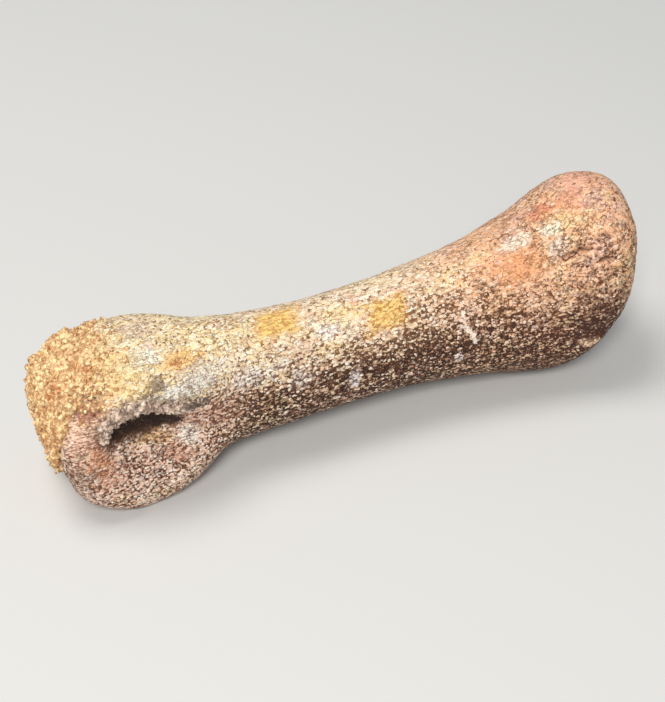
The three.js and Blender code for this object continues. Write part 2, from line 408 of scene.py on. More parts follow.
# lines that are laid on the surface
surfaceLines = {
    "crease": [(26.6, -5.9, 18.35), (27.6, -5.8, 18.75), (28.7, -5.8, 19.05), (29.7, -6.5, 19.5)],
    "creaseLip": [(26.9, -6.2, 17.8), (27.9, -6.2, 18.1), (28.9, -6.4, 18.4), (30.0, -7.0, 18.9)],
    "lowerCrease": [(30.6, -7.8, 18.3), (31.4, -8.0, 18.5), (32.2, -8.1, 18.9)],
    "spur": [(27.6, -9.7, 6.5), (28.9, -10.3, 7.8), (30.4, -10.3, 8.8)],
    "rimEdge": [(-36.5, -5.0, 9.6), (-36.1, -4.5, 13.3), (-35.0, -3.3, 15.2), (-33.6, -2.8, 16.5)],
    "scuff": [(13.1, -5.6, 14.1), (13.1, -6.2, 12.9), (13.7, -6.6, 12.0), (14.3, -6.9, 10.8)],
    "scuffBranch": [(12.5, -6.2, 13.0), (13.1, -6.3, 12.7), (13.4, -6.5, 12.2)],
}
spongyZone = {"centre": (32.6, -7.6, 16.4), "radii": (6.4, 5.0, 6.6), "cell": 0.9}  # by the near joint
# where the bone is full of pores: a middle and radii
poreZones = {
    "rimHoles": ((-32.8, -4.5, 15.7), (1.5, 1.6, 1.3)),
    "lipSide": ((30.6, -8.6, 16.8), (3.6, 3.0, 4.4)),
}
sandZone = {"centre": (-32.9, 3.2, 17.0), "radii": (5.2, 5.9, 3.3)}  # where sand thins out over the bone

# the noises of the bone: size in mm, detail, roughness, stretch and shift
noises = {
    "patches": (6.0, 2.0, 0.5, (1.8, 1, 1), 20.0),
    "clusters": (1.5, 2.0, 0.6, (1.7, 1, 1), 24.0),
    "ragged": (1.5, 5.0, 0.74, (1, 1, 1), 31.0),
    "swells": (5.0, 1.0, 0.5, (1, 1, 1), 5.0),
    "lumps": (1.6, 5.0, 0.66, (1.5, 1, 1), 8.0),
    "roughness": (0.5, 2.0, 0.6, (1.3, 1, 1), 9.0),
    "hue": (3.6, 3.0, 0.6, (1.5, 1, 1), 90.0),
    "fine": (0.17, 3.0, 0.7, (1.4, 1, 1), 34.0),
    "soot": (1.3, 3.0, 0.6, (1.6, 1, 1), 44.0),
    "fibres": (0.3, 3.0, 0.65, (2.6, 1, 1), 61.0),
    "striae": (0.3, 2.0, 0.6, (4.0, 1.2, 0.7), 46.0),
    "cracks": (0.8, 3.0, 0.65, (1.7, 1, 1), 52.0),
    "crackPlaces": (1.9, 2.0, 0.6, (1, 1, 1), 57.0),
    "squiggles": (0.62, 2.0, 0.6, (1.3, 1, 1), 71.0),
    "squigglePlaces": (1.1, 2.0, 0.6, (1, 1, 1), 77.0),
}

# the places in mm, along X or up Z, between which the surface changes
spans = {
    "nearLift": (8, 34),
    "shaftLift": (3, 9),
    "shaftLiftEnd": (15, 24),
    "coverHigh": (9.5, 17.0),
    "coverCheek": (-24, -13),
    "coverNear": (16, 26),
    "coverNearUp": (9, 15),
    "fineFlakes": (-25, -10),
    "browEnd": (-24.5, -19.5),
    "toMiddle": (-20, -6),
    "toNear": (2, 20),
    "lowFlank": (9.5, 16.5),
    "cheek": (-22, -12),
    "cheekTop": (12, 15),
    "nearFlank": (14, 28),
    "nearFlankUp": (8, 15),
    "nearEnd": (17, 30),
    "nearEndTop": (23.5, 20.5),
    "floor": (0.1, 0.6),
    "sandUp": (13.4, 15.4),
    "browSand": (-24.5, -20.5),
    "patchTop": (11, 12),
}

# where flakes crowd together, or are mostly lost: a middle, radii, and what is added to their cover
crowding = {
    "whiteLow": ((12.1, -7.0, 8.9), (0.7, 1.0, 0.6), 0.6),
    "whiteMiddle": ((-1.3, -5.9, 9.4), (0.8, 1.1, 1.2), 0.5),
    "farShaft": ((-14.0, -4.8, 12.8), (4.0, 1.6, 1.4), 0.14),
    "flankFar": ((-8.3, -5.7, 11.2), (2.0, 1.4, 1.2), 0.16),
    "spongy": ((32.6, -7.6, 16.8), (6.4, 5.0, 6.2), 0.26),
    "rim": ((-34.4, -5.0, 12.8), (2.6, 2.4, 4.0), 0.22),
    "darkMiddle": ((-0.3, -5.0, 12.9), (3.0, 1.6, 1.5), -0.16),
    "darkBehindOchre": ((9.4, -3.9, 15.3), (3.4, 2.2, 1.7), -0.14),
    "darkLow": ((9.5, -6.6, 10.6), (5.0, 1.8, 1.7), -0.08),
    "darkHeel": ((30.0, -10.0, 11.6), (4.2, 3.0, 2.6), -0.25),
}

flakes = {
    "size": 0.33,  # mm from one flake to the next
    "stretch": (1.5, 1.0, 1.0),
    "wobble": 1.3,
    "ragged": 0.85,
    "unlike": 0.4,  # how much the flakes differ in size
    "cluster": 0.55,
    "patch": 0.5,
    "coverTop": 1.07,
    "coverFlank": 0.36,
    "finer": 0.3,  # how much finer they are towards the far end
    "finerFrom": (-12.0, -4.0, 9.0),
    "coverCheek": 0.74,
    "coverNear": 0.78,
    "reach": (0.2, 0.56),  # how far a flake reaches without cover, and what full cover adds
    "biteSize": 0.26,
    "edgeSize": 0.36,
}


def cells(tree, place, size, stretch=(1, 1, 1), wobble=None):
    # packed rounded cells: the distance from each one's middle, in cell sizes, and its own random triple
    scaled = vectorCalc(tree, "DIVIDE", place, tuple(size * s for s in stretch))
    if wobble is not None:
        scaled = vectorCalc(tree, "ADD", scaled, wobble)
    node = tree.nodes.new("ShaderNodeTexVoronoi")
    feed(tree, node.inputs["Vector"], scaled)
    node.inputs["Scale"].default_value = 1.0
    return node.outputs["Distance"], node.outputs["Color"]


def wobbleOf(tree, place, size, amount):
    node = tree.nodes.new("ShaderNodeTexNoise")
    feed(tree, node.inputs["Vector"], vectorCalc(tree, "DIVIDE", place, (size,) * 3))
    node.inputs["Scale"].default_value = 1.0
    node.inputs["Detail"].default_value = 2.0
    centred = vectorCalc(tree, "SUBTRACT", node.outputs["Color"], (0.5, 0.5, 0.5))
    return vectorCalc(tree, "SCALE", centred, amount)


def coverOf(tree, place):
    # the share of the surface that light flakes cover: nearly all on the top, little on the lower flank
    along = axisOf(tree, place, "X")
    up = axisOf(tree, place, "Z")
    lift = calc(tree, "MULTIPLY", span(tree, along, "nearLift"), 4.0)
    lift = addTimes(tree, lift, span(tree, along, "shaftLift"), span(tree, along, "shaftLiftEnd", 1.2, 0.0))
    high = span(tree, calc(tree, "SUBTRACT", up, lift), "coverHigh")
    onCheek = span(tree, along, "coverCheek", 1.0, 0.0)
    low = addTimes(tree, flakes["coverFlank"], onCheek, flakes["coverCheek"] - flakes["coverFlank"])
    nearRise = calc(tree, "MULTIPLY", span(tree, along, "coverNear"), span(tree, up, "coverNearUp"))
    low = addTimes(tree, low, nearRise, flakes["coverNear"] - flakes["coverFlank"])
    cover = addTimes(tree, low, high, calc(tree, "SUBTRACT", flakes["coverTop"], low))
    patch = swing(tree, place, *noises["patches"])
    cluster = swing(tree, place, *noises["clusters"])
    cover = addTimes(tree, cover, patch, flakes["patch"])
    for centre, radii, amount in crowding.values():
        inside = insideOf(tree, place, centre, radii, 0.5, calc(tree, "MULTIPLY", cluster, 1.4))
        cover = addTimes(tree, cover, inside, amount)
    return addTimes(tree, cover, cluster, flakes["cluster"])


def flakeCells(tree, wholePlace, cover):
    fineness = span(tree, axisOf(tree, wholePlace, "X"), "fineFlakes", 1 + flakes["finer"], 1.0)
    offset = vectorCalc(tree, "SUBTRACT", wholePlace, flakes["finerFrom"])
    place = vectorCalc(tree, "SCALE", offset, fineness)
    wobble = wobbleOf(tree, place, flakes["edgeSize"], flakes["wobble"])
    distance, own = cells(tree, place, flakes["size"], flakes["stretch"], wobble)
    bare, covered = flakes["reach"]
    reach = addTimes(tree, bare, cover, covered)
    reach = addTimes(tree, reach, calc(tree, "SUBTRACT", axisOf(tree, own, "X"), 0.5), flakes["unlike"])
    bites = swing(tree, place, flakes["biteSize"], 3.0, 0.62, flakes["stretch"], 27.0)
    reach = addTimes(tree, reach, bites, flakes["ragged"])
    return calc(tree, "SUBTRACT", reach, distance), own


def poreMask(tree, place):
    distance = cells(tree, place, boneForm["poreSize"])[0]
    hole = ramp(tree, distance, 0.12, 0.42, 1.0, 0.0)
    zones = [insideOf(tree, place, centre, radii) for centre, radii in poreZones.values()]
    return calc(tree, "MULTIPLY", hole, largest(tree, zones))


def distanceToLines(tree, place, *names):
    distances = [distanceToLine(tree, place, surfaceLines[name]) for name in names]
    return calc(tree, "MINIMUM", *distances) if len(names) == 2 else distances[0]


def browMask(tree, place, ragged):
    distance = addTimes(tree, distanceToLine(tree, place, brow), ragged, 0.6)
    fading = span(tree, axisOf(tree, place, "X"), "browEnd", 1.0, 0.0)
    return calc(tree, "MULTIPLY", ramp(tree, distance, 0.6, 1.5, 1.0, 0.0), fading)


def raggedOf(tree, place):
    return calc(tree, "MULTIPLY", swing(tree, place, *noises["ragged"]), 2.6)


def spongyCells(tree, place, ragged):
    # the spongy ground by the near joint: the distance from each bubble's middle, and where they are
    zone = spongyZone
    inside = insideOf(tree, place, zone["centre"], zone["radii"], 0.4, calc(tree, "MULTIPLY", ragged, 0.4))
    bubbles = cells(tree, place, zone["cell"], (1.4, 1, 1), wobbleOf(tree, place, 0.8, 1.2))[0]
    return bubbles, inside


def ballNode(tree, centre, radii, turn):
    ball = tree.nodes.new("GeometryNodeMeshIcoSphere")
    ball.inputs["Radius"].default_value = 1.0
    ball.inputs["Subdivisions"].default_value = 4
    placed = tree.nodes.new("GeometryNodeTransform")
    tree.links.new(ball.outputs["Mesh"], placed.inputs["Geometry"])
    placed.inputs["Scale"].default_value = Vector(radii) * mm
    placed.inputs["Rotation"].default_value = (0, math.radians(turn), 0)
    placed.inputs["Translation"].default_value = Vector(centre) * mm
    return placed.outputs[0]


def carveHollow(bone):
    tree, geometry, out = geometryTree("carvedBone")
    carved = blurred(tree, geometry, boneForm["softening"])
    for hollow in hollows:
        cut = tree.nodes.new("GeometryNodeMeshBoolean")
        cut.operation = "DIFFERENCE"
        tree.links.new(carved, cut.inputs["Mesh 1"])
        tree.links.new(ballNode(tree, **hollow), cut.inputs["Mesh 2"])
        carved = cut.outputs["Mesh"]
    tree.links.new(carved, out)
    useTree(bone, tree)


def addBrowKnobs(bone):
    # small knobs along the brow, which the remesh then grows together with the bone
    chance = random.Random(browKnobs["seed"])
    jitter = browKnobs["jitter"]
    shape = bmesh.new()
    shape.from_mesh(bone.data)
    for start, end in zip(brow, brow[1:]):
        start, end = Vector(start), Vector(end)
        count = int((end - start).length / browKnobs["spacing"])
        for step in range(count):
            spot = start.lerp(end, (step + chance.random()) / count)
            size = min(1, 0.35 - 0.2 * (spot.x + 21))  # smaller where the brow dies out
            radius = chance.uniform(browKnobs["least"], browKnobs["most"]) * max(size, 0.3)
            side = chance.uniform(-0.5, 1.0) * browKnobs["spread"]
            inwards = browKnobs["sunk"] * radius + 0.35 * max(side, 0)
            spot += Vector((chance.uniform(-jitter, jitter), inwards, side))
            turn = Matrix.Translation(spot * mm)
            bmesh.ops.create_icosphere(shape, subdivisions=2, radius=radius * mm, matrix=turn)
    shape.to_mesh(bone.data)
    shape.free()


def layLines(bone):
    # moves the points of every line onto the nearest place of the surface
    for name, line in surfaceLines.items():
        spots = (bone.closest_point_on_mesh(Vector(point) * mm)[1] for point in line)
        surfaceLines[name] = [tuple(spot / mm) for spot in spots]


def boneRelief(tree, place):
    # how far the worn surface stands out from the softened form, in millimetres
    form = boneForm
    ragged = raggedOf(tree, place)
    swell = swing(tree, place, *noises["swells"])
    height = addTimes(tree, form["fullness"], swell, 2 * form["swellHeight"])
    lump = swing(tree, place, *noises["lumps"])
    height = addTimes(tree, height, lump, 2 * form["lumpHeight"])
    roughness = swing(tree, place, *noises["roughness"])
    height = addTimes(tree, height, roughness, 2 * form["roughHeight"])
    height = addTimes(tree, height, poreMask(tree, place), -form["poreDepth"])
    toCrease = distanceToLines(tree, place, "crease", "lowerCrease")
    groove = ramp(tree, toCrease, 0.0, form["creaseRadius"], 1.0, 0.0)
    height = addTimes(tree, height, groove, -form["creaseDepth"])
    raisedEdges = 0.0
    for name, (full, reach, rise) in ledges.items():
        ledge = ramp(tree, distanceToLines(tree, place, name), full, reach, 1.0, 0.0)
        raisedEdges = addTimes(tree, raisedEdges, ledge, rise)
    height = calc(tree, "ADD", height, raisedEdges)
    bubbles, spongy = spongyCells(tree, place, ragged)
    holes = ramp(tree, bubbles, 0.0, 0.5, -form["spongeHeight"], 0.2 * form["spongeHeight"])
    height = addTimes(tree, height, holes, spongy)
    grit = cells(tree, place, form["gritSize"], wobble=wobbleOf(tree, place, 0.5, 0.7))[0]
    grain = calc(tree, "MULTIPLY", calc(tree, "SUBTRACT", 0.6, grit), form["gritHeight"] * 1.6)
    height = addTimes(tree, height, grain, browMask(tree, place, ragged))
    edge = calc(tree, "MULTIPLY", ragged, 0.6)
    sand = insideOf(tree, place, sandZone["centre"], sandZone["radii"], 0.4, edge)
    rise = calc(tree, "ADD", calc(tree, "MULTIPLY", grain, 0.7), form["sandRise"])
    height = addTimes(tree, height, sand, rise)
    aboveFloor = span(tree, axisOf(tree, place, "Z"), "floor")
    return calc(tree, "MULTIPLY", height, aboveFloor)


def makeBone():
    bone = fineCopy("toe_bone", "fossilBone", boneForm["softVoxel"])
    carveHollow(bone)
    addBrowKnobs(bone)
    voxelRemesh(bone, boneForm["voxel"])
    print("bone carved:", len(bone.data.polygons), "faces")
    layLines(bone)
    tree, geometry, out = geometryTree("wornBone")
    soft = blurred(tree, geometry, 3)
    tree.links.new(raised(tree, soft, boneRelief(tree, placeInMillimetres(tree))), out)
    useTree(bone, tree)
    layLines(bone)
    finished(bone, boneMaterial())
    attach(bone, "root")
    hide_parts("toe_bone")
    return bone


# toe bone: colours

# the flakes and the base between them along the bone, then what is painted over them
boneColours = {
    "flakeFar": tone(246, 222, 166),
    "flakeMiddle": tone(246, 222, 186),
    "flakeNear": tone(246, 184, 138),
    "flakeLow": tone(255, 206, 164),
    "flakeCheek": tone(246, 206, 182),
    "darkTop": tone(138, 98, 66),
    # the lower flank's base: partly its own darker tone, partly painted shade on the lower flank
    "darkLow": tone(38, 18, 10),
    "darkCheek": tone(100, 62, 46),
    "darkNear": tone(116, 62, 40),
    "whitened": tone(255, 248, 232),
    "browned": tone(196, 136, 98),
    "soot": tone(40, 24, 18),
    "umber": tone(136, 84, 56),
    "speck": tone(196, 138, 102),
    "pinkish": tone(232, 184, 172),
    "yellowish": tone(250, 222, 152),
    "striae": tone(140, 82, 62),
    "crackTop": tone(150, 116, 84),
    # cracks of the lower flank, darker partly as painted shade
    "crackLow": tone(92, 56, 38),
    "squiggle": tone(92, 48, 32),
    # painted shade in the sunk bubbles of the spongy ground
    "bubble": tone(86, 46, 32),
    "gritDark": tone(128, 104, 90),
    "gritLight": tone(248, 234, 216),
    # painted shade in the gaps between the brow's grains
    "gritGapShade": tone(62, 48, 42),
    "greyBand": tone(84, 72, 68),
    "rimLine": tone(250, 230, 204),
    "scuff": tone(255, 238, 220),
    # painted highlight on the lower lip of the crease
    "creaseLip": tone(252, 206, 168),
    # painted shade in the crease
    "crease": tone(70, 36, 24),
    # painted shade in the deep hollow of the pit
    "pit": tone(44, 22, 11),
    # painted shade in the pores
    "pore": tone(74, 36, 26),
    "ochreLight": tone(252, 212, 118),
    "ochreDark": tone(204, 144, 60),
}
# how much of the colour under it each of these hides
hiding = {"flakeLow": 0.8, "speck": 0.6, "striae": 0.62, "squiggle": 0.85, "pit": 0.92, "pore": 0.85}
boneFinish = {"roughness": 0.7, "specular": 0.35, "bumpDepth": 0.085}
# each stain: its middle and radii in mm, its colour, how strongly it tints the flakes and the base
# between them, and how soft its edge is
stains = {
    "sandyTop": ((-32.6, 1.0, 16.8), (4.6, 5.4, 3.0), (252, 226, 164), 0.8, 0.75, 0.3),
    "ochreSand": ((-31.0, -1.2, 17.8), (1.6, 1.2, 1.2), (222, 166, 88), 0.55, 0.8, 0.3),
    "whiteTop": ((-26.0, -2.3, 18.1), (2.8, 1.5, 1.6), (255, 252, 232), 0.95, 0.5, 0.16),
    "whiteTopFar": ((-27.4, 0.6, 18.2), (1.6, 1.3, 1.3), (252, 246, 220), 0.7, 0.4, 0.3),
    "whiteOverBrow": ((-22.4, -5.4, 15.0), (3.6, 1.4, 0.9), (255, 252, 242), 0.95, 0.3, 0.2),
    "whiteShaft": ((-13.6, -4.7, 13.2), (3.6, 1.5, 1.1), (252, 242, 230), 0.8, 0.1, 0.2),
    "whiteFlank": ((-8.3, -5.6, 11.4), (1.8, 1.3, 1.1), (250, 236, 224), 0.8, 0.1, 0.2),
    "whiteByOchre": ((-3.6, -3.2, 15.2), (1.2, 0.9, 0.9), (255, 246, 236), 0.9, 0.3, 0.16),
    "darkFar": ((-35.0, -6.4, 7.2), (2.2, 2.4, 2.0), (126, 96, 66), 0.5, 0.4, 0.3),
    "orangeTop": ((-21.8, -3.2, 17.1), (2.7, 1.4, 1.4), (248, 190, 112), 0.75, 0.5, 0.3),
    "rustTop": ((-22.2, -3.5, 17.0), (0.7, 0.6, 0.7), (186, 100, 56), 0.5, 1.1, 0.3),
    "whiteByBrow": ((-19.6, -4.7, 15.4), (3.6, 1.6, 1.5), (240, 230, 214), 0.8, 0.2, 0.2),
    "pinkRim": ((-34.4, -5.0, 12.8), (2.6, 2.4, 4.0), (255, 214, 186), 0.9, 0.0, 0.3),
    "redRim": ((-34.4, -5.0, 12.8), (2.6, 2.4, 4.0), (184, 118, 92), 0.0, 1.2, 0.3),
    "redHoles": ((-32.8, -4.5, 15.3), (1.7, 1.5, 1.5), (146, 66, 42), 0.75, 1.3, 0.3),
    "orangeFloor": ((-32.7, -6.2, 8.9), (1.2, 1.8, 1.8), (240, 158, 108), 0.6, 0.35, 0.3),
    "maroonFloor": ((-31.0, -5.2, 10.2), (1.7, 1.7, 1.4), (116, 70, 52), 0.8, 0.9, 0.3),
    "brownFloor": ((-27.4, -4.6, 9.9), (4.0, 1.8, 0.8), (156, 106, 70), 0.85, 0.5, 0.3),
    "yellowFloor": ((-26.0, -4.9, 8.7), (2.4, 2.0, 0.8), (236, 192, 122), 0.6, 0.1, 0.3),
    "yellowBetween": ((-0.6, -1.9, 16.2), (2.6, 1.0, 1.2), (248, 212, 136), 0.5, 0.4, 0.3),
    "whiteFloor": ((-22.2, -5.9, 8.4), (1.3, 1.6, 1.5), (250, 240, 226), 0.9, 0.3, 0.18),
    "pinkOutlet": ((-19.2, -5.4, 10.4), (3.2, 1.8, 1.6), (210, 140, 114), 0.4, 0.12, 0.3),
    "redNear": ((26.6, 0.2, 21.6), (1.8, 1.4, 1.4), (236, 148, 112), 0.7, 0.7, 0.3),
    "redNearLip": ((29.6, -1.2, 22.9), (2.0, 1.8, 1.4), (240, 156, 118), 0.6, 0.5, 0.3),
    "yellowNear": ((27.6, -2.6, 21.2), (2.0, 1.5, 1.3), (248, 216, 152), 0.55, 0.6, 0.3),
    "pinkNearLip": ((31.8, 1.6, 24.0), (3.4, 3.4, 1.6), (232, 170, 150), 0.6, 0.3, 0.3),
    "lilacTop": ((-25.3, 2.4, 18.5), (2.0, 1.6, 1.2), (206, 188, 178), 0.4, 0.2, 0.3),
    "greyPeak": ((-25.5, -5.2, 16.2), (1.0, 0.9, 1.1), (112, 96, 88), 0.75, 0.8, 0.3),
    "greyBand": ((-22.9, -5.9, 12.7), (3.2, 1.5, 0.8), (98, 84, 78), 0.65, 0.9, 0.3),
    "redCheek": ((-23.5, -5.9, 6.8), (1.9, 1.6, 1.1), (212, 142, 104), 0.5, 0.2, 0.3),
    "crustDust": ((-28.9, -2.2, 16.9), (2.5, 4.6, 2.6), (244, 208, 138), 0.7, 0.6, 0.6),
    "redCheekFar": ((-31.9, -6.6, 6.2), (1.9, 1.6, 1.3), (218, 148, 112), 0.45, 0.2, 0.3),
    "orangeNear": ((21.8, -4.2, 18.0), (4.2, 2.2, 2.0), (248, 170, 118), 0.7, 0.6, 0.3),
    "blueNear": ((32.0, -2.8, 23.6), (1.4, 1.4, 1.0), (190, 170, 168), 0.35, 0.4, 0.3),
    "whiteNear": ((22.0, -1.9, 19.4), (1.9, 1.0, 1.1), (255, 246, 226), 0.65, 0.4, 0.2),
    "whiteNearTop": ((26.3, -2.8, 20.6), (1.4, 1.1, 1.1), (255, 248, 226), 0.7, 0.4, 0.2),
    "greyNear": ((26.0, -4.6, 19.3), (1.3, 1.2, 1.1), (242, 222, 204), 0.75, 0.4, 0.2),
    "whiteLow": ((12.1, -7.0, 8.9), (0.7, 1.0, 0.65), (255, 240, 228), 0.9, 0.1, 0.2),
    "whiteMiddle": ((-1.3, -5.9, 9.4), (0.85, 1.1, 1.3), (246, 238, 236), 0.9, 0.1, 0.2),
    "paleFlake": ((29.2, -10.3, 8.1), (1.5, 1.2, 0.6), (250, 214, 180), 0.95, 1.2, 0.14),
    "darkHeel": ((29.8, -10.0, 11.6), (4.4, 3.0, 2.8), (60, 34, 24), 0.4, 1.2, 0.3),
}
# each ochre patch: a middle, half its length and width, and how far it leans
ochrePatches = {
    "ochreFront": ((-8.9, -0.6, 16.6), 2.7, 1.9, 0.35),
    "ochreBack": ((4.0, -3.2, 15.4), 2.5, 1.3, 0.38),
}
# where the pit is painted dark as shade: a middle and radii
pitShade = {
    "wide": ((-28.0, -3.9, 11.4), (5.0, 2.8, 2.4)),
    "narrow": ((-24.8, -4.8, 10.7), (2.3, 1.7, 0.9)),
}


def flakeColours(tree, place, low, cheek, toNear):
    # the light of the flakes and the dark of the base, from the far end to the near end
    along = axisOf(tree, place, "X")
    up = axisOf(tree, place, "Z")
    toMiddle = span(tree, along, "toMiddle")
    light = mixColours(tree, toMiddle, boneColours["flakeFar"], boneColours["flakeMiddle"])
    light = mixColours(tree, toNear, light, boneColours["flakeNear"])
    light = painted(tree, light, low, "flakeLow")
    light = mixColours(tree, cheek, light, boneColours["flakeCheek"])
    # the base is darker on the lower flank, partly in its own tone and partly as painted shade
    dark = mixColours(tree, low, boneColours["darkTop"], boneColours["darkLow"])
    nearFlank = calc(tree, "MULTIPLY", span(tree, along, "nearFlank"), span(tree, up, "nearFlankUp"))
    dark = mixColours(tree, nearFlank, dark, boneColours["darkNear"])
    dark = mixColours(tree, cheek, dark, boneColours["darkCheek"])
    hue = noise(tree, place, *noises["hue"])
    light = mixColours(tree, ramp(tree, hue, 0.52, 0.68, 0.0, 0.5), light, boneColours["pinkish"])
    light = mixColours(tree, ramp(tree, hue, 0.48, 0.32, 0.0, 0.5), light, boneColours["yellowish"])
    return light, dark


def mottled(tree, place, light, dark, own, fine, toNear):
    # every flake has its own lightness and warmth, and the base is mottled too
    lightness = axisOf(tree, own, "Y")
    warmth = axisOf(tree, own, "Z")
    light = mixColours(tree, ramp(tree, warmth, 0.5, 1.0, 0.0, 0.5), light, boneColours["browned"])
    whiter = ramp(tree, lightness, 0.45, 0.95, 0.0, 0.75)
    light = tinted(tree, light, whiter, ramp(tree, toNear, 0, 1, 1.0, 0.45), boneColours["whitened"])
    light = mixColours(tree, ramp(tree, fine, 0.5, 0.72, 0.0, 0.6), light, boneColours["whitened"])
    light = mixColours(tree, ramp(tree, fine, 0.47, 0.3, 0.0, 0.6), light, boneColours["browned"])
    soot = ramp(tree, noise(tree, place, *noises["soot"]), 0.42, 0.68, 0.0, 0.5)
    dark = mixColours(tree, soot, dark, boneColours["soot"])
    dark = mixColours(tree, ramp(tree, fine, 0.48, 0.72, 0.0, 0.75), dark, boneColours["umber"])
    speck, speckOwn = cells(tree, place, 0.2, (1.5, 1, 1), wobbleOf(tree, place, 0.3, 1.0))
    chosen = ramp(tree, axisOf(tree, speckOwn, "X"), 0.5, 0.62)
    specks = calc(tree, "MULTIPLY", ramp(tree, speck, 0.5, 0.3), chosen)
    return light, painted(tree, dark, specks, "speck")


def ochreOf(tree, place, jitter):
    # ochre where the outermost layer is lost: fine fibres, with soft edges
    fibres = noise(tree, place, *noises["fibres"])
    fibrous = ramp(tree, fibres, 0.4, 0.58)
    ochre = mixColours(tree, fibrous, boneColours["ochreDark"], boneColours["ochreLight"])
    edge = calc(tree, "MULTIPLY", jitter, 0.4)
    patches = [insideOfSlab(tree, place, *patch, 0.4, edge) for patch in ochrePatches.values()]
    return ochre, largest(tree, patches)


def browGrit(tree, place, colour, ragged, jitter):
    # grey granular band on the brow over the open pit, with painted shade in the gaps between its grains,
    # where the grey band is laid on more strongly too
    grit, own = cells(tree, place, 0.58, (1.2, 1, 1), wobbleOf(tree, place, 0.4, 1.0))
    kind = ramp(tree, axisOf(tree, own, "X"), 0.2, 0.9)
    grey = mixColours(tree, kind, boneColours["gritDark"], boneColours["gritLight"])
    grey = mixColours(tree, ramp(tree, grit, 0.38, 0.62, 0.0, 0.9), grey, boneColours["gritGapShade"])
    colour = tinted(tree, colour, browMask(tree, place, ragged), 0.85, grey)
    centre, radii = stains["greyBand"][:2]
    band = insideOf(tree, place, centre, radii, 0.4, jitter)
    return tinted(tree, colour, band, ramp(tree, grit, 0.15, 0.5, 0.3, 0.85), boneColours["greyBand"])


def linesAndHoles(tree, place, colour, ragged, jitter):
    # light line along the rim beside the matrix, a white scuff, a painted highlight on the crease's lower
    # lip, and painted shade in the crease, the pit and the pores
    wavering = calc(tree, "MULTIPLY", ragged, 0.25)
    rimLine = calc(tree, "ADD", distanceToLines(tree, place, "rimEdge"), wavering)
    colour = mixColours(tree, ramp(tree, rimLine, 0.12, 0.34, 0.75, 0.0), colour, boneColours["rimLine"])
    scuff = addTimes(tree, distanceToLines(tree, place, "scuff", "scuffBranch"), jitter, 0.4)
    colour = mixColours(tree, ramp(tree, scuff, 0.12, 0.36, 0.95, 0.0), colour, boneColours["scuff"])
    # a painted highlight along the crease's lower lip, then painted shade in the crease
    lip = calc(tree, "ADD", distanceToLines(tree, place, "creaseLip"), wavering)
    colour = mixColours(tree, ramp(tree, lip, 0.1, 0.45, 0.55, 0.0), colour, boneColours["creaseLip"])
    crease = addTimes(tree, distanceToLines(tree, place, "crease", "lowerCrease"), ragged, 0.2)
    colour = mixColours(tree, ramp(tree, crease, 0.05, 0.36, 0.9, 0.0), colour, boneColours["crease"])
    # painted shade darkens the hollow of the pit
    for centre, radii in pitShade.values():
        pitShadeMask = insideOf(tree, place, centre, radii, 0.3, calc(tree, "MULTIPLY", ragged, 0.4))
        colour = painted(tree, colour, pitShadeMask, "pit")
    return painted(tree, colour, poreMask(tree, place), "pore")


